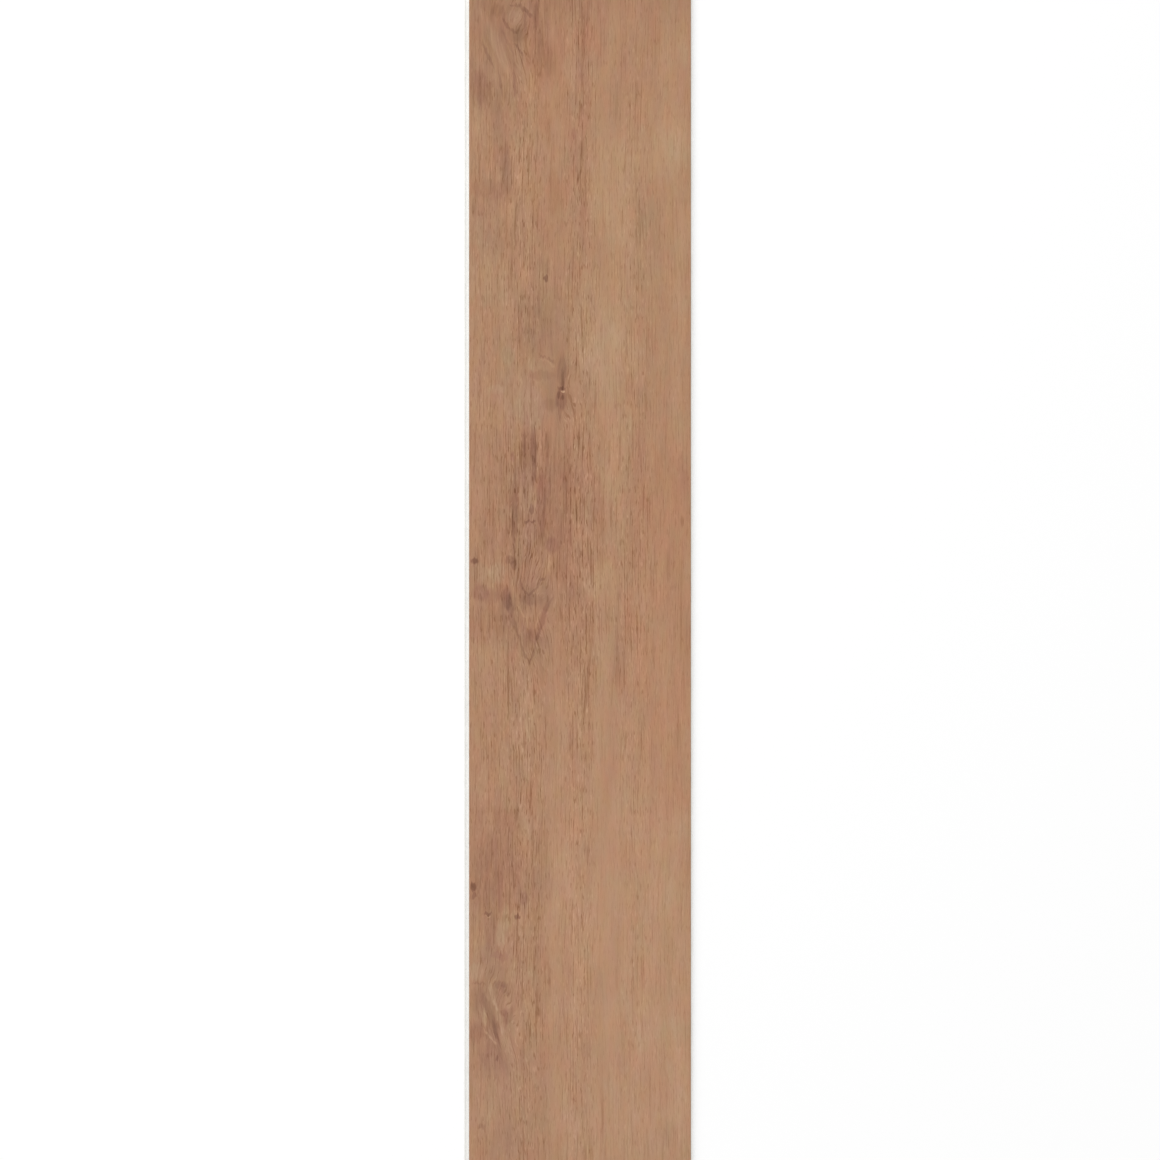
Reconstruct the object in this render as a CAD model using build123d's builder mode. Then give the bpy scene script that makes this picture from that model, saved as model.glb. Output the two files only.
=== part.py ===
# Rigid core vinyl plank with a swing-in locking joint milled along all four edges.
# Millimetres. X runs across the plank, Y along it and Z up; the origin is under the middle of the face.
# The plank lies face up: tongues point to +X and +Y, lower lips to -X and -Y.

from build123d import *
import math
import os

# Face and body
face_length = 1219.2  # 48 in along the grain, from joint line to joint line
face_width = 228.6  # 9 in across the grain, from joint line to joint line
plank_thickness = 6.0
bevel = 0.6  # micro bevel round the face

# Locking joint, the same along the edges and across the ends
upper_lip = 2.2  # material between the face and the groove
tongue_reach = 2.4  # how far the tongue stands out past the face
nose_radius = 0.4  # round nose of the tongue
lock_reach = 3.0  # from the joint line back to the locking flank
lock_angle = 38.0  # slope of the locking flank in degrees, low enough to swing free
rib_height = 0.7  # how far the locking rib stands up from the lower lip
rib_width = 1.2  # flat top of the locking rib
rib_lead = 0.3  # bevel on the rib's outer corner
fit_gap = 0.05  # play all along a closed joint
lip_relief = 0.3  # extra room past the end of a closed lower lip

rib_ramp = rib_height / math.tan(math.radians(lock_angle))
lip_reach = lock_reach + rib_ramp + rib_width + rib_lead
nose_inset = tongue_reach - nose_radius  # from the joint line to the middle of the nose
nose_drop = upper_lip + nose_radius  # from the face down to the middle of the nose
joint_overhang = max(tongue_reach, lip_reach) + plank_thickness  # blank left past the face for milling


def joint_edge(joint_line, gap, lip_end):
    """Draws the line where two closed planks meet, from the bevel down to the floor.

    The tongue edge follows it with no gap, and the groove edge stands back from it by the gap.
    Below the nose it is an arc about the top of the joint line, so a plank can be swung up and out.
    """
    tongue_top = plank_thickness - upper_lip + gap
    nose = joint_line + nose_inset
    nose_middle = plank_thickness - nose_drop
    nose_tip = nose + nose_radius + gap
    swing_radius = math.hypot(nose_inset, nose_drop) + nose_radius + gap
    belly_angle = math.atan2(nose_inset, nose_drop)  # from straight down round to the nose
    bed = plank_thickness - swing_radius
    flank = joint_line - lock_reach
    rib_top = bed + rib_height

    def on_swing(angle):
        return (
            joint_line + swing_radius * math.sin(angle),
            plank_thickness - swing_radius * math.cos(angle),
        )

    Polyline((joint_line, plank_thickness - bevel), (joint_line, tongue_top), (nose, tongue_top))
    ThreePointArc((nose, tongue_top), (nose_tip, nose_middle), on_swing(belly_angle))
    ThreePointArc(on_swing(belly_angle), on_swing(belly_angle / 2), on_swing(0))
    Polyline(
        (joint_line, bed),
        (flank, bed),
        (flank - rib_ramp, rib_top),
        (joint_line - lip_end + rib_lead, rib_top),
        (joint_line - lip_end, rib_top - rib_lead),
        (joint_line - lip_end, 0),
    )


def plank_outline(face_span):
    """Draws the section across a face of this span, groove edge on the left and tongue edge on the right."""
    groove_line = -face_span / 2
    tongue_line = face_span / 2
    recess_end = lip_reach + lip_relief
    Polyline(
        (groove_line, plank_thickness - bevel),
        (groove_line + bevel, plank_thickness),
        (tongue_line - bevel, plank_thickness),
        (tongue_line, plank_thickness - bevel),
    )
    joint_edge(tongue_line, 0, recess_end)
    joint_edge(groove_line, fit_gap, lip_reach)
    Line((groove_line - lip_reach, 0), (tongue_line - recess_end, 0))


# The long edges are milled along a blank and then the ends across it, so a corner keeps what both cuts leave.
with BuildPart() as plank:
    with BuildSketch(Plane.XZ):
        with BuildLine():
            plank_outline(face_width)
        make_face()
    extrude(amount=face_length / 2 + joint_overhang, both=True)
    with BuildSketch(Plane.YZ):
        with BuildLine():
            plank_outline(face_length)
        make_face()
    extrude(amount=face_width / 2 + joint_overhang, both=True, mode=Mode.INTERSECT)
    # Two corners shed a crumb, where the lower lip of one edge runs under the tongue of the other.
    add(plank.solids().sort_by(SortBy.VOLUME)[-1], mode=Mode.REPLACE)

plank.part.label = "plank"

os.makedirs("parts", exist_ok=True)
export_step(plank.part, "parts/plank.step")
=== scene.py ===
# Looks of a rigid core vinyl plank: an oak print under a matt wear layer, and a pale milled core.
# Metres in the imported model's frame: X across the plank, Y along the grain, Z up out of the face.

import bmesh
import bpy
import math
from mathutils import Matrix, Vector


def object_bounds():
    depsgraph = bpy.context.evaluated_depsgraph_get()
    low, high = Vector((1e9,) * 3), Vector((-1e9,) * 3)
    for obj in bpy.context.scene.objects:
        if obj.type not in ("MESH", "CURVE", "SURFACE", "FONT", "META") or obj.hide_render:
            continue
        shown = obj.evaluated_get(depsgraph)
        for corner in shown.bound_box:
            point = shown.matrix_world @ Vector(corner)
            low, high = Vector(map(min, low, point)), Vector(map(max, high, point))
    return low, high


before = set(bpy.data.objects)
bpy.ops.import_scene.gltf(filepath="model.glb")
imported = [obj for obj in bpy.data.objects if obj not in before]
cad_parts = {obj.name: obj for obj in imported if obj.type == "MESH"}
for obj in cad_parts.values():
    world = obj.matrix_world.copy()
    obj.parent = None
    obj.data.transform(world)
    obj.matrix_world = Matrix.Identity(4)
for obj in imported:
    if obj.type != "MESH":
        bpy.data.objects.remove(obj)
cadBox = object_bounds()
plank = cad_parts["plank"]
millimetre = 0.001  # patterns are in millimetres, the frame is in metres
faceLevel = cadBox[1].z / millimetre
print("plank loaded, metres:", [round(high - low, 4) for low, high in zip(*cadBox)])


def paint(red, green, blue):  # a colour as a screen shows it, 0 to 255, made linear
    def linear(level):
        share = level / 255
        return share / 12.92 if share < 0.04045 else ((share + 0.055) / 1.055) ** 2.4
    return (linear(red), linear(green), linear(blue), 1.0)


class Wire:  # one output socket, so that sums of sockets read as sums
    def __init__(self, tree, socket=None):
        self.tree = tree
        self.socket = socket

    def add(self, kind, settings, values, output=0):  # any node; values are set on sockets or linked
        node = self.tree.nodes.new(kind)
        for name, setting in settings.items():
            if name == "stops":
                self.layStops(node.color_ramp.elements, setting)
            else:
                setattr(node, name, setting)
        for name, value in values.items():
            if isinstance(value, Wire):
                self.tree.links.new(value.socket, node.inputs[name])
            else:
                node.inputs[name].default_value = value
        return Wire(self.tree, node.outputs[output] if node.outputs else None)

    def layStops(self, stops, wanted):
        stops.remove(stops[0])
        stops[0].position, stops[0].color = wanted[0]
        for position, colour in wanted[1:]:
            stops.new(position).color = colour

    def other(self, output):  # another output of the same node
        return Wire(self.tree, self.socket.node.outputs[output])

    def math(self, operation, *values):
        return self.add("ShaderNodeMath", {"operation": operation}, dict(enumerate(values)))

    def vector(self, operation, *values):
        return self.add("ShaderNodeVectorMath", {"operation": operation}, dict(enumerate(values)))

    def times(self, factor, base):  # this value times a factor, added to a base
        return self.math("MULTIPLY_ADD", self, factor, base)

    def fade(self, low, high, start=0.0, end=1.0):  # eases from start to end between low and high
        values = {"Value": self, "From Min": low, "From Max": high, "To Min": start, "To Max": end}
        settings = {"interpolation_type": "SMOOTHSTEP", "clamp": False}  # a clamp overfills Cycles' stack
        return self.add("ShaderNodeMapRange", settings, values, "Result")

    def ramp(self, stops):  # a colour for each level of this value
        lowest, highest = stops[0][0], stops[-1][0]
        places = [((level - lowest) / (highest - lowest), colour) for level, colour in stops]
        share = self.add("ShaderNodeMapRange", {}, {"Value": self, "From Min": lowest, "From Max": highest})
        return self.add("ShaderNodeValToRGB", {"stops": places}, {"Fac": share})

    def blend(self, first, second):  # two colours, with this value as the second one's share
        return self.add("ShaderNodeMix", {"data_type": "RGBA"}, {0: self, 6: first, 7: second}, 2)

    def tinted(self, tint):  # this colour times another
        settings = {"data_type": "RGBA", "blend_type": "MULTIPLY"}
        return self.add("ShaderNodeMix", settings, {0: 1.0, 6: self, 7: tint}, 2)

    def __add__(self, value):
        return self.math("ADD", self, value)

    def __radd__(self, value):
        return self.math("ADD", value, self)

    def __sub__(self, value):
        return self.math("SUBTRACT", self, value)

    def __rsub__(self, value):
        return self.math("SUBTRACT", value, self)

    def __mul__(self, value):
        return self.math("MULTIPLY", self, value)

    def __rmul__(self, value):
        return self.math("MULTIPLY", value, self)


# The oak print, in millimetres on the face: x across and y along from its middle.
# Tone is in screen levels, dark below 0 and pale above.
# Ash turns the colour from orange, below 0, to grey. Blush turns it from olive, below 0, to rose.
oak = {
    "tones": [  # level, colour
        (-60, (110, 71, 51)),
        (-28, (147.5, 105.5, 81)),
        (-10, (165.3, 122.7, 94)),
        (0, (174.5, 132, 101.5)),
        (8, (181.7, 140.5, 108.7)),
        (24, (196, 157, 126)),
    ],
    "lineTones": [-60, -30, -15, 0, 15, 30],  # fine lines shift all three channels alike
    "tintReach": (-10, 10),  # ash or blush at which the tints below are full
    "warmTint": (1.040, 0.980, 0.910, 1.0),
    "ashTint": (0.962, 1.022, 1.095, 1.0),
    "oliveTint": (0.950, 1.055, 0.960, 1.0),
    "roseTint": (1.050, 0.945, 1.040, 1.0),
    # grain and tint layers: noise in cells of so many millimetres
    "streak": {"across": 4.5, "along": 30.0, "seed": 17.9, "tone": 14.0},
    "band": {"across": 14.0, "along": 80.0, "seed": 23.3, "tone": 13.0},
    "cloud": {"across": 50.0, "along": 140.0, "seed": 31.7, "tone": 9.0},
    "ash": {"across": 14.0, "along": 30.0, "seed": 71.9, "detail": 2.0, "shift": 15.0},
    "blush": {"across": 14.0, "along": 30.0, "seed": 83.1, "detail": 2.0, "shift": 12.0},
    # pushes by noise: clouds are ragged, lines waver, figures tremble, rings crumple and sway
    "ragged": {"across": 5.0, "along": 40.0, "seed": 11.7, "detail": 2.0, "sideways": 6.0, "endways": 22.0},
    "waver": {"across": 5.0, "along": 40.0, "seed": 11.7, "detail": 2.0, "sideways": 2.0, "endways": 8.0},
    "tremble": {"across": 3.0, "along": 12.0, "seed": 19.3, "detail": 3.0, "sideways": 3.2, "endways": 8.0},
    "crumple": {"across": 16.0, "along": 36.0, "seed": 97.3, "detail": 2.0, "sideways": 9.0, "endways": 20},
    "sway": {"across": 120.0, "along": 260.0, "seed": 3.1, "sideways": 10.0},
    "detail": 1.0,  # of layers that name none
    "stripes": 1.2,  # how strongly streaks show inside a dark cloud
    "spread": 1.5,  # a patch is gone at this many times its half size
    "cloudEdge": (0.2, 1.0),  # it fades between these shares of the way out to there
    "figureEdge": (0.45, 0.85),
    "grainDensity": 0.45,  # share of the line strengths below where no bundle lies
    "rimTone": -4.0,  # the painted bevel is a little darker
    "rimAsh": 4.0,  # and greyer
    "fibre": {"across": 1.15, "along": 8.0, "seed": 5.3, "tone": 13.5, "relief": 0.03},
    "roughness": 0.52,
    "shine": 0.25,
}
fineMarks = [  # noise between low and high fades a mark in; relief is in millimetres
    {"across": 1.2, "along": 11.0, "seed": 41.1, "low": 0.62, "high": 0.71,  # pores
     "tone": -19.0, "relief": -0.035, "rough": 0.16},
    {"across": 1.4, "along": 60.0, "seed": 67.3, "low": 0.61, "high": 0.70,  # long grain lines
     "tone": -17.0, "relief": -0.045, "rough": 0.16},
    {"across": 1.2, "along": 10.0, "seed": 53.9, "low": 0.63, "high": 0.74,  # pale flecks: painted highlights of the embossing, over a slight raised relief
     "tone": 12.0, "relief": 0.015, "rough": -0.05},
]

# x, y, half width, half length, lean in degrees with the top to the left, tone, ash, blush
clouds = [  # broad and soft, with ragged ends
    (-20, 604, 130, 26, 0, -5, 0, 0),
    (-78, 570, 36, 40, 0, -14.5, 0.3, -0.3),  # round the top swirl
    (-80, 520, 18, 22, 0, -4, 1.5, -1),
    (-34, 572, 22, 54, 0, -10, -2, 1),
    (12, 575, 14, 40, 0, -8, -2, 2),
    (93, 590, 26, 36, 0, -6, 0, -0.4),
    (-82, 492, 12, 24, 0, -8, 0, 0),
    (-105, 507, 15, 29, 0, -12, 0, 0.5),
    (-62, 436, 9, 24, 0, 5, 0, 0),
    (-96, 394, 22, 26, 0, -6, 0, 1),
    (-77, 353, 22, 22, 0, -5.5, 0.3, -0.6),
    (-52, 395, 20, 24, 0, 0, -2, 0),
    (-103, 354, 16, 28, 0, 0, 3, -1.2),
    (-95, 309, 22, 24, 0, 4, 2.5, -2.2),
    (-12, 290, 20, 22, 0, 0, 1, -1.2),
    (0, 463, 11, 135, 0, -6, 0, 0.7),  # column of fine lines
    (-38, 505, 24, 45, 0, -4, -4, 0),
    (-24, 370, 12, 50, 0, -5, -2, 0),
    (33, 412, 27, 58, 0, 6, 1, -1),
    (98, 566, 18, 32, 0, 5, 1, -1),
    (62, 476, 18, 24, 0, 4, -1, 0),
    (97, 446, 18, 26, 0, 8, 3, -2),
    (72, 392, 20, 22, 0, -4, 0, 0),
    (100, 385, 14, 50, 0, 2, 0, -1.4),
    (28, 300, 20, 30, 0, 4, 0, -0.4),
    (72, 546, 8, 36, 0, -4, -1, 0),
    (67, 348, 11, 42, 0, -3, 3, -1),
    (-36, 263, 25, 40, 0, -11, 3, -2),  # brown above the large knot
    (21, 234, 30, 46, 0, 9, 4, -1),
    (2, 205, 15, 20, 0, -4.5, 1, -0.4),
    (-60, 190, 27, 34, 0, -3, 4.5, -1),
    (-21, 198, 12, 34, 0, -10, 2.5, -0.8),
    (99, 285, 17, 62, 0, 5, 0, 0),
    (60, 345, 75, 190, 0, 0, 0, -1.2),  # olive upper right
    (-88, 430, 52, 180, 0, -2, 0.8, -0.8),
    (-75, 238, 21, 28, 0, -3.5, 2, -1.3),
    (-103, 172, 10, 20, 0, 6, 1, -0.4),
    (-72, 126, 22, 42, 0, -4, 1, -0.5),
    (6, 102, 17, 36, 0, -4, 0, 0.5),
    (41, 140, 12, 60, 0, 4, 0, -0.4),
    (-93, 93, 20, 62, 0, -4, -0.5, 0.5),
    (-45, 132, 18, 34, 0, -6, 0, 0),  # dark heart
    (-52, 62, 20, 44, 0, -5, 1, -0.3),
    (-76, 66, 26, 44, 0, -5.5, 0.6, -0.5),
    (-36, 40, 48, 115, 0, -6, 0, 1),
    (-16, 45, 12, 110, 0, -7, -0.7, 1),
    (103, 106, 10, 24, 0, -5, -1, 0.6),
    (93, 67, 26, 75, 0, -1, -4.5, 1),
    (62, 82, 10, 72, 0, -2, -2, 1),
    (33, 69, 13, 56, 0, 4, 1, -1),
    (20, 64, 9, 20, 0, -6, 0, 1),
    (45, -12, 40, 26, 0, 4, 0, -0.5),
    (22, 4, 13, 22, 0, 8, 0, -1),
    (-105, 0, 9, 18, 0, -10, 2, -2),
    (-92, -41, 25, 22, 0, -10, 0, -0.5),
    (-52, -38, 25, 52, 0, -10, 1.7, -0.3),
    (25, -72, 11, 43, 0, 4, 1, -1),
    (41, -82, 8, 40, 0, -6, 1, 1),
    (52, -41, 7, 29, 0, -5, -2, 1),
    (82, -82, 32, 95, 0, -1, -3, 1),
    (-60, -140, 13, 54, 0, 5, 3, 0),
    (45, -235, 42, 170, 0, 0, 0, 0.7),
    (80, -246, 25, 20, 0, 0, 0, 1.8),
    (-91, -252, 23, 25, 0, -8, 0, 2),
    (-87, -306, 28, 36, 0, -16, -1, 2),
    (-95, -372, 17, 52, 0, -5, 1, 0),
    (-88, -445, 22, 40, 0, -8, 1, 0),  # round the slanting figure
    (-88, -496, 20, 18, 0, -10, 1, 3),
    (-77, -520, 36, 41, 0, 1, 3, 0.5),
    (-72, -577, 29, 25, 0, -3, 4, 0.5),
    (90, -568, 8, 15, 0, -6, 3, 1),
    (92, -186, 21, 70, 0, -3, -2.5, 1),
    (62, -330, 60, 240, 0, 8, 0, 0),  # calm pale half
    (62, -518, 24, 35, 0, -3, 0, 1.4),
    (50, -555, 78, 85, 0, 6, 1, 0.3),
    (106, -510, 10, 130, 0, 5, 0, 0),
    (30, -452, 80, 24, 0, 4, 0, 0.6),
    (84, -332, 30, 28, 0, 4, 0, 0),
    (-12, -560, 14, 35, 0, 4, 1, 0),
    (-45, -316, 22, 25, 0, -5, 2, 0),
    (4, -382, 13, 56, 0, 4, -1, 0),
    (-85, -440, 32, 110, 0, 0, 2.5, 0),
    (-15, -330, 20, 210, 0, 8, 0, 1),
]

# the same, with the colour shifts left out where there are none
figures = [  # drawn shapes that hold their outline
    (-67.5, 579, 8, 8, 0, 8, 4, 2),  # top swirl
    (-85, 587, 6, 7, 0, -9, -1, -2),
    (-78.5, 583, 2.2, 9, 8, -10),
    (-75.8, 572, 1.5, 7.5, 25, -13),
    (-69, 566.5, 1.6, 5, 68, -12),
    (-66.7, 592, 6, 1.5, 0, -13),
    (-55.5, 585.5, 2.2, 9, 45, -20),
    (-56.5, 575, 1.5, 12, 0, -12),
    (-66, 561, 9, 7, 0, -7, 0, -1),
    (-86, 552, 5.5, 36, 25, 9, 3, 0.5),
    (-95, 541, 1.6, 15, 26, -14),
    (-82, 512, 1.4, 15, 8, -12),
    (-74, 553, 1.4, 14, 26, -9),
    (-63.5, 547, 1.3, 7, 44, -16),
    (-59.5, 535, 1.1, 9, 0, -11),
    (-67.5, 512, 1.4, 14, 3, -15),
    (-45, 581, 3, 14, 0, -9, 0, 1),
    (-40, 535, 15, 20, 0, -5, -1, -0.5),
    (-102, 505, 10, 18, 0, -8, 0, 0.5),
    (-82, 452, 8, 40, 4, -11, 1, 0.5),  # brown band down the left
    (-74, 420, 4.5, 26, 3, -7, 1, 0.5),
    (-91, 402, 20, 10, 0, -7, 0, 1),
    (-32.5, 460, 2.5, 16, 0, -8, -3, 0),
    (-6, 460, 2.5, 7, 0, -10, -1, 2),
    (-28, 400, 7, 22, 0, -5, -4, -1),
    (-18.5, 214, 4.5, 17, 0, -14, 1, 0),  # large knot and its plume
    (-18, 206, 1.5, 12, 0, -14),
    (-19.3, 187, 5.5, 12, 0, -19, 1, 1),
    (-18.5, 197.3, 5, 1.6, 0, -18),
    # painted highlight: a bright glint on the large knot
    (-17.3, 194.2, 2.3, 1.1, 0, 52),
    (-22, 190.5, 1.7, 5.5, 0, -22),
    (-17.8, 188, 1.6, 3, 0, -20),
    (-20.5, 171, 1.3, 9, 0, -12),
    (-31.5, 181, 8, 7, 0, -9, -1, -1),
    (-38.5, 230, 4.4, 1.3, 8, -12),
    (-30, 226.5, 1.3, 5.5, 45, -13),
    (-38, 226.3, 4.5, 1.1, 8, 7),
    (-29.8, 222.3, 1.1, 5.5, 45, 8),
    (-39.5, 211, 14, 5, 0, -8),
    (-51, 179, 13, 18, 0, 3, 11, 1),  # grey patch beside the knot
    (-74, 231, 7, 10, 0, 2, 4, -2),
    (-86, 197, 8, 6, 0, 6, 3, -1),
    (-50, 223, 4, 7, 0, 5, 3, -1),
    (-35, 310, 2.6, 3.6, 0, -30),  # small knot
    (-33, 322, 2, 9, 0, -11),
    (-53, 126, 9, 33, 0, -10, 0, 1),  # dark heart
    (-47.5, 138, 3.4, 19, 0, -9, 0, 1),
    (-57, 140, 1.3, 15, 0, -11),
    (-47, 114, 2.3, 12, 0, -11),
    (-69.5, 127, 2.6, 6, 0, -11, 0, 3),
    (-40.5, 137, 2.2, 18, 0, 9, 1, 2),
    (-34.5, 133, 2.5, 20, 0, -9),
    (-56, 90, 6.5, 26, 0, 4, 4, 0),
    (-38, 78, 7, 36, 0, -14, -1, 2.5),
    (-31, 92, 1.3, 22, 0, -10),
    (-38, 41, 4.5, 11, 8, -9, -1, -1),
    (-29, 36, 7, 8, 0, -11, 0, 2),
    (-52, 46, 8, 12, 0, 5, 6, 2),
    (-67, 70, 2.8, 46, 0, -13),
    (-69, 45, 1.8, 24, 0, -10),
    (-50, 73, 2.2, 5, 0, -22),
    (-55, 60, 2.6, 1.8, 0, -22),
    (-48.5, 60.5, 3, 1.5, 0, -20),
    (-31.5, 18, 1.8, 11, 0, 11),
    (-108.5, 19.5, 4, 3.2, 0, -32),
    (-72, 21, 5.5, 5, 0, -16),
    (-68, 16, 3, 5, 0, -16),
    (-103, 8, 8.5, 10, 0, 9, 5, -0.5),  # pale island over the darkest patch
    (-85, 7.5, 9, 10, 0, 9, 5, -0.5),
    (-102, -13, 10, 8, 0, -12, 0, 2),
    (-92, -17, 10, 8, 0, -8, 0, 1),
    (-82, -12, 7, 9, 0, -6, 0, 0),
    (-75, -19, 5, 12, 0, -17, 2, 1),
    (-72, -26, 4.5, 12, 8, -15, 2, 1),
    (-72, -43, 5, 7, 0, -8, 1, 1),
    (-60.4, -4.5, 1.5, 6, 12, -13),  # cup and nested arches under the heart
    (-56.5, -12, 1.6, 5, 45, -17),
    (-49, -12.3, 1.6, 5, -50, -16),
    (-43, -5.5, 1.5, 4.5, -30, -13),
    (-38.5, 0.5, 1.8, 3.2, -55, -18),
    (-51, -1, 6, 8, 0, 4, 0, 2),
    (-50, -20.5, 11, 5.5, 0, -9, 1, 0),
    (-50, -39, 7.5, 13, 0, 8, 0, -0.5),
    (-61, -32, 1.2, 8, 35, 12),
    (-54, -45, 1.1, 9, 12, 8),
    (-43.4, -40, 1.1, 12, -18, 8),
    (-31.5, -25.5, 1.5, 10.5, -25, -10),
    (-37, -36, 2.6, 16, -14, -15),
    (-43.5, -57, 1.6, 11, -19, -14),
    (-48.5, -76, 1.4, 10, -13, -14),
    (-65.5, -49.5, 1.4, 8, 13, -12),
    (-61.3, -64.5, 1.4, 9.5, 16.5, -14),
    (-56.2, -78.5, 1.4, 6, 26, -14),
    (-51.5, -84, 2.4, 3.5, 0, -12),
    (-49, -58, 7, 7, 0, -8),
    (-110, -316, 3.2, 5, 0, -36),  # edge knot
    (-109, -325, 2.8, 3.5, 0, -22),
    (-58, -328, 4, 8, 0, -12, 2, 3),
    (-64.3, -347.4, 3, 2.6, 0, -36),
    (-94.8, -344, 4, 1.8, 0, -24),
    # painted highlight: a small glint on this knot
    (-94, -346.5, 2.5, 0.9, 0, 20),
    (-75.5, -347, 4, 14, 0, 9, 3, -1),  # slanting figure low on the left
    (-81.5, -366, 4, 17, 0, 8, 3, -1),
    (-92.5, -362, 6, 20, 0, -6, 0, 0),
    (-96, -386, 6, 11, 0, -3, 5, 2),
    (-86, -386, 6, 3.5, 0, -7, 1, 2),
    (-79, -388.5, 5, 5, 0, -8, 1, 2),
    (-107, -404, 8, 9, 0, 8, 4, -1),
    (-88, -404, 11, 8, 0, 0, 4, 1),
    (-104, -415.5, 7, 1.3, 0, -10),
    (-108.5, -433, 6, 12, 0, -7),
    (-82, -416.5, 7.5, 3.5, 0, -11, 1, 1),
    (-77, -421.5, 5, 5.5, 0, -9, 1, 1),
    (-74, -427, 2.5, 4, 0, -8),
    (-92.5, -448, 3.6, 28, 20, -13),
    (-90, -428, 2.3, 16, 16, 15, 3, 1),
    (-83, -452, 2.8, 18, 16, 13, 2, 0),
    (-77.5, -474, 4.5, 14, 14, 9, 1, 0),
    (-86.5, -467, 1.8, 14, 17, -10),
    (-75, -436, 3.5, 6, 0, 8, -1, 0),
    (-78.5, -446.5, 4, 3.5, 0, -10, 0, 1),
    (-75.5, -452, 3, 6, 0, -10, 0, 1),
    (-98.5, -452, 2.4, 7.5, 6, 17, 2, -1),
    (-92.5, -470.5, 1.3, 11, 38, 16),
    (-107, -467, 7, 11, 0, -12),
    (-85.5, -494, 2, 3, 0, -18),
    (-102, -563, 4, 3, 0, -16),
    (-6, -536, 1.4, 1.7, 0, -14),
]

# x, y, half width, half length, lean, tone
lines = [  # long grain lines that waver a little
    (3, 554, 1.5, 26, 0, -13),
    (2.4, 439, 1.3, 12, 0, -13),
    (-1, 417, 1.3, 12, -17, -12),
    (9.7, 482, 1.0, 12, 0, -10),
    (3, 391, 3, 23, 0, -9),
    (62, 357, 1.2, 12, 0, -12),
    (-12, 252, 1.5, 31, 0, -12),
    (-61, 261, 1.5, 29, 0, -10),
    (-26.5, 125, 1.2, 16, 0, -9),
    (-14, 103, 3, 35, 0, -12),
    (23, 67, 2, 27, 0, -10),
    (-33, 140, 4, 14, 0, -9),
    (-74, -95, 1.5, 45, 0, -13),
    (7, -113, 1.6, 64, -5.6, -14),
    (13, -36, 1.2, 15, 0, -10),
    (38, -82, 1.2, 35, 0, -10),
    (45, -93, 1.2, 27, 0, -10),
    (76, -77, 1, 16, 0, -11),
    (104, -46, 1, 39, 0, -11),
    (101, -149, 1, 23, 0, -11),
    (-65, -240, 2, 9, 0, -15),
    (-49, -270, 1.5, 31, 0, -13),
    (-55, -288, 1.2, 23, 0, -11),
    (-46, -375, 1.4, 39, 0, -12),
    (-65, -378, 1.2, 21, 0, -13),
    (-44, -437, 1.5, 16, 0, -16),
    (-43, -445, 3, 5, 0, -12),
    (-58, -485, 1.3, 26, 0, -12),
    (-51, -469, 1.2, 9, 0, -12),
    (-7, -488, 1, 27, 0, -9),
    (23, -550, 1.2, 25, 0, -13),
    (104, -343, 1, 20, 0, -9),
    (64, -458, 1, 13, 0, -10),
    (-71, -448, 1.6, 10, -2, -11),
    (-110, 383, 1.5, 9, 0, -18),
    (105, 61, 2, 6, 0, -15),
    (-103, 510, 2, 16, 0, -12),
    (-93, 500, 2, 14, 0, -10),
]
# the last number is how much denser the fine grain lines lie
bundles = [
    (-58, 0, 22, 900, 0, 0.75),
    (0, 0, 17, 900, 0, 0.70),
    (56, 60, 18, 560, 0, 0.40),
    (-97, 0, 18, 900, 0, 0.35),
    (0, 35, 75, 115, 0, 0.30),
    (-80, -440, 32, 70, 0, -0.10),
    (-78, 555, 30, 45, 0, -0.40),
    (-50, 200, 40, 45, 0, -0.45),
    (-51, -35, 17, 45, 0, -0.45),
    (20, -330, 30, 220, 0, -0.20),
]
# the last number is how many millimetres the growth rings are pushed aside, to bend round the figures
rings = [
    (-50, -35, 16, 50, 0, 9),  # nested arches under the heart
    (-84, -445, 14, 40, 18, 8),  # slanting figure low on the left
    (-75, 565, 18, 40, 15, 9),  # top swirl
    (-17, 195, 12, 30, 0, 7),  # large knot
]

# The milled core, in millimetres: pale mineral filled vinyl on the joints and the underside
core = {
    "pale": (250, 249, 246),
    "shade": (228, 226, 220),
    "share": 0.16,  # of the shade on average
    "mottle": {"cell": (9.0, 14.0, 5.0), "seed": 3.7, "share": 0.5},
    "specks": {"cell": (0.8, 0.8, 0.8), "seed": 8.3, "share": 0.5, "relief": -0.03},
    "speckEdge": (0.62, 0.70),  # noise between these fades a speck in
    "milling": {"cell": (60.0, 60.0, 0.3), "seed": 5.9, "share": 0.4, "relief": 0.03},
    "sanding": {"cell": (1.6, 130.0, 9.0), "seed": 6.1, "share": 0.6, "relief": 0.03},  # underside
    "underside": (0.02, 0.06),  # the sanded underside ends between these heights from the floor
    "printed": (-0.65, -0.60),  # the print starts between these heights from the face, at the bevel's foot
    "faceFrom": (-0.10, -0.03),  # the bevel ends between these
    "detail": 1.0,
    "roughness": 0.78,
}


def grainNoise(lane, layer):  # 0 to 1, in cells of so many millimetres
    scale = (1 / layer["across"], 1 / layer["along"], 1)
    start = (layer["seed"], layer["seed"], 0)
    cells = lane.add("ShaderNodeMapping", {}, {"Vector": lane, "Location": start, "Scale": scale})
    values = {"Vector": cells, "Scale": 1.0, "Detail": layer.get("detail", oak["detail"])}
    return lane.add("ShaderNodeTexNoise", {"noise_dimensions": "2D"}, values)


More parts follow.
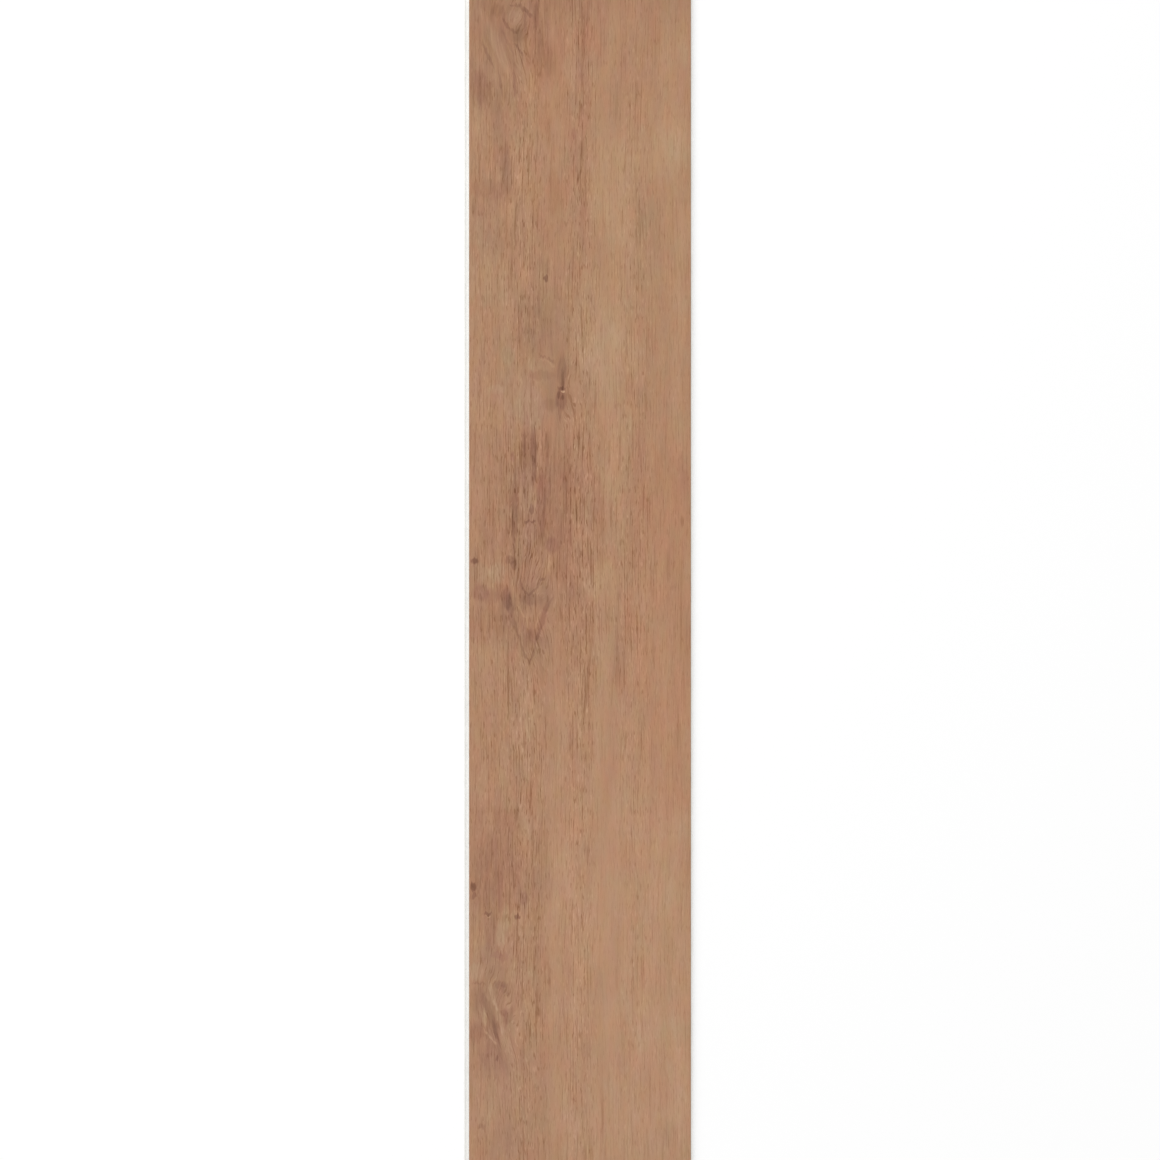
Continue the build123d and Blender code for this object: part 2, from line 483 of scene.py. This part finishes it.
def coreNoise(solid, layer):  # -0.5 to 0.5, in cells of so many millimetres each way
    scale = [1 / side for side in layer["cell"]]
    start = [layer["seed"]] * 3
    cells = solid.add("ShaderNodeMapping", {}, {"Vector": solid, "Location": start, "Scale": scale})
    values = {"Vector": cells, "Scale": 1.0, "Detail": core["detail"]}
    return solid.add("ShaderNodeTexNoise", {}, values) - 0.5


def pushed(face, layer):  # the face's coordinates, pushed about to and fro over so many millimetres
    noise = grainNoise(face, layer).other("Color")
    centred = face.vector("SUBTRACT", noise, (0.5, 0.5, 0.5))
    return face.vector("MULTIPLY_ADD", centred, (layer["sideways"], layer["endways"], 0), face)


def patchMask(lane, x, y, across, along, lean, edge):  # 1 in the middle of an oval, 0 outside it
    wide = across * oak["spread"]
    tall = along * oak["spread"]
    if lean:
        cosine = math.cos(math.radians(lean))
        sine = math.sin(math.radians(lean))
        offset = lane.vector("SUBTRACT", lane, (x, y, 0))
        sideways = offset.vector("DOT_PRODUCT", offset, (cosine / wide, sine / wide, 0)).other("Value")
        endways = offset.vector("DOT_PRODUCT", offset, (-sine / tall, cosine / tall, 0)).other("Value")
        oval = offset.add("ShaderNodeCombineXYZ", {}, {"X": sideways, "Y": endways})
    else:
        oval = lane.vector("MULTIPLY_ADD", lane, (1 / wide, 1 / tall, 0), (-x / wide, -y / tall, 0))
    radius = oval.vector("LENGTH", oval).other("Value")
    return radius.fade(*edge, 1.0, 0.0)


def layPatches(sums, lane, patches, edge=oak["cloudEdge"]):  # adds each patch's shifts to the running sums
    for x, y, across, along, lean, *shifts in patches:
        mask = patchMask(lane, x, y, across, along, lean, edge)
        for index, shift in enumerate(shifts):
            if shift:
                sums[index] = mask.times(shift, sums[index])
    return sums


def lineTint(shift):  # what multiplies the middle colour to move each channel by so many screen levels
    middle = dict(oak["tones"])[0]
    moved = paint(*[level + shift for level in middle])
    return tuple(new / old for new, old in zip(moved, paint(*middle)))


def oakPrint(start, face, height):  # colour, relief and roughness of the printed face and bevels
    ragged = pushed(face, oak["ragged"])  # clouds end in ragged fibres
    wavering = pushed(face, oak["waver"])
    cloudTone, ash, blush = layPatches([0.0, 0.0, 0.0], ragged, clouds)
    drawn = layPatches([cloudTone, ash, blush], pushed(face, oak["tremble"]), figures, oak["figureEdge"])
    drawnTone, ash, blush = drawn
    lineTone, = layPatches([0.0], wavering, lines)
    density, = layPatches([oak["grainDensity"]], ragged, bundles)

    # growth rings run straight, sway a little and bend into arches at the figures
    x = start.add("ShaderNodeSeparateXYZ", {}, {"Vector": face})
    swayed = (grainNoise(face, oak["sway"]) - 0.5).times(oak["sway"]["sideways"], x)
    laneX, = layPatches([swayed], pushed(face, oak["crumple"]), rings)
    lane = start.add("ShaderNodeCombineXYZ", {}, {"X": laneX, "Y": x.other("Y")})

    # streaks show most in dark clouds and in bundles
    stripes = cloudTone.math("MINIMUM", cloudTone, 0.0) * -oak["stripes"]
    stripes = density.times(oak["streak"]["tone"], stripes)
    tone = (grainNoise(lane, oak["streak"]) - 0.5).times(stripes, drawnTone)
    tone = (grainNoise(lane, oak["band"]) - 0.5).times(oak["band"]["tone"], tone)
    tone = (grainNoise(face, oak["cloud"]) - 0.5).times(oak["cloud"]["tone"], tone)
    ash = (grainNoise(ragged, oak["ash"]) - 0.5).times(oak["ash"]["shift"], ash)
    blush = (grainNoise(ragged, oak["blush"]) - 0.5).times(oak["blush"]["shift"], blush)

    fibre = grainNoise(lane, oak["fibre"]) - 0.5
    fine = fibre * oak["fibre"]["tone"]
    relief = fibre * oak["fibre"]["relief"]
    rough = 0.0
    # pores and long grain lines are print; the pale flecks are painted highlights of the embossing
    for layer in fineMarks:
        mark = grainNoise(lane, layer).fade(layer["low"], layer["high"])
        fine = mark.times(layer["tone"], fine)
        relief = mark.times(layer["relief"], relief)
        rough = mark.times(layer["rough"], rough)
    rim = (height - faceLevel).fade(*core["faceFrom"], 1.0, 0.0)
    fine = rim.times(oak["rimTone"], fine.times(density, lineTone))
    ash = rim.times(oak["rimAsh"], ash)

    brown = tone.ramp([(level, paint(*colour)) for level, colour in oak["tones"]])
    brown = brown.tinted(ash.fade(*oak["tintReach"]).blend(oak["warmTint"], oak["ashTint"]))
    brown = brown.tinted(blush.fade(*oak["tintReach"]).blend(oak["oliveTint"], oak["roseTint"]))
    brown = brown.tinted(fine.ramp([(level, lineTint(level)) for level in oak["lineTones"]]))
    return brown, relief, rough.times(density, oak["roughness"])


def milledCore(start, solid, height):  # colour and relief of the joints and the underside
    underside = height.fade(*core["underside"], 1.0, 0.0)
    mottle = coreNoise(solid, core["mottle"])
    specks = (coreNoise(solid, core["specks"]) + 0.5).fade(*core["speckEdge"])
    milling = coreNoise(solid, core["milling"])
    sanding = coreNoise(solid, core["sanding"]) * underside
    share = mottle.times(core["mottle"]["share"], core["share"])
    relief = 0.0
    for layer, cut in (("specks", specks), ("milling", milling), ("sanding", sanding)):
        share = cut.times(core[layer]["share"], share)
        relief = cut.times(core[layer]["relief"], relief)
    return share.blend(paint(*core["pale"]), paint(*core["shade"])), relief


def plankLook():
    look = bpy.data.materials.new("oakPrintedPlank")
    look.use_nodes = True
    tree = look.node_tree
    tree.nodes.clear()
    start = Wire(tree)
    place = start.add("ShaderNodeTexCoord", {}, {}, "Object")
    solid = start.vector("DIVIDE", place, (millimetre, millimetre, millimetre))
    face = start.vector("MULTIPLY", solid, (1, 1, 0))  # flat
    height = start.add("ShaderNodeSeparateXYZ", {}, {"Vector": solid}, "Z")
    brown, grain, rough = oakPrint(start, face, height)
    stone, cuts = milledCore(start, solid, height)
    printed = (height - faceLevel).fade(*core["printed"])
    finish = {
        "Base Color": printed.blend(stone, brown),
        "Roughness": printed.times(rough - core["roughness"], core["roughness"]),
        "Specular IOR Level": oak["shine"],
    }
    relief = printed.times(grain - cuts, cuts)
    finish["Normal"] = start.add("ShaderNodeBump", {}, {"Height": relief, "Distance": millimetre}, "Normal")
    shader = start.add("ShaderNodeBsdfPrincipled", {}, finish)
    start.add("ShaderNodeOutputMaterial", {}, {"Surface": shader})
    print("plank look:", len(tree.nodes), "nodes")
    return look


plank.data.materials.clear()
plank.data.materials.append(plankLook())


# The studio: a pale floor, an even dome and one wide lamp
studio = {
    "dome": 0.75,
    "keyWatts": 42.0,
    "keyPlace": (-2.0, 1.2, 2.2),
    "keySize": 2.5,
    "floorHalf": 4.0,
    "floorDrop": 0.0002,
    "floorGrey": (0.85, 0.85, 0.85, 1.0),
    "floorGlow": 1.13,
    "glowShare": 0.6,
}


def seenRays(start):  # 1 for what the camera sees, straight or in gloss and glass
    ray = start.add("ShaderNodeLightPath", {}, {}, "Is Camera Ray")
    seen = ray.math("MAXIMUM", ray, ray.other("Is Glossy Ray"))
    return ray.math("MAXIMUM", seen, ray.other("Is Transmission Ray"))


def studioFloor():
    sheet = bmesh.new()
    bmesh.ops.create_grid(sheet, x_segments=1, y_segments=1, size=studio["floorHalf"])
    bmesh.ops.translate(sheet, verts=sheet.verts, vec=(0, 0, -studio["floorDrop"]))
    mesh = bpy.data.meshes.new("floor")
    sheet.to_mesh(mesh)
    sheet.free()
    floor = bpy.data.objects.new("floor", mesh)
    bpy.context.collection.objects.link(floor)
    look = bpy.data.materials.new("paleFloor")
    look.use_nodes = True
    tree = look.node_tree
    tree.nodes.clear()
    start = Wire(tree)
    share = seenRays(start) * studio["glowShare"]
    matt = start.add("ShaderNodeBsdfDiffuse", {}, {"Color": studio["floorGrey"]})
    glow = start.add("ShaderNodeEmission", {}, {"Color": (1, 1, 1, 1), "Strength": studio["floorGlow"]})
    mixed = start.add("ShaderNodeMixShader", {}, {0: share, 1: matt, 2: glow})
    start.add("ShaderNodeOutputMaterial", {}, {"Surface": mixed})
    mesh.materials.append(look)


def studioDome():
    world = bpy.data.worlds.new("studioDome")
    bpy.context.scene.world = world
    world.use_nodes = True
    tree = world.node_tree
    tree.nodes.clear()
    start = Wire(tree)
    strength = seenRays(start) * (1 - studio["dome"]) + studio["dome"]
    dome = start.add("ShaderNodeBackground", {}, {"Color": (1, 1, 1, 1), "Strength": strength})
    start.add("ShaderNodeOutputWorld", {}, {"Surface": dome})


def studioLamp():
    lamp = bpy.data.lights.new("softLamp", "AREA")
    lamp.energy = studio["keyWatts"]
    lamp.size = studio["keySize"]
    holder = bpy.data.objects.new("softLamp", lamp)
    holder.location = studio["keyPlace"]
    holder.rotation_euler = (-holder.location).to_track_quat("-Z", "Y").to_euler()
    bpy.context.collection.objects.link(holder)


studioFloor()
studioDome()
studioLamp()
print("studio set")

# The camera looks straight down on this much of the plank's length
camera = {"height": 6.0, "seenLength": 1.1951, "sensor": 36.0}


def overheadCamera():
    lens = bpy.data.cameras.new("overhead")
    lens.sensor_width = camera["sensor"]
    lens.lens = lens.sensor_width * (camera["height"] - cadBox[1].z) / camera["seenLength"]
    holder = bpy.data.objects.new("overhead", lens)
    holder.location = (0, 0, camera["height"])
    bpy.context.collection.objects.link(holder)
    bpy.context.scene.camera = holder


overheadCamera()
bpy.context.scene.view_settings.view_transform = "Standard"
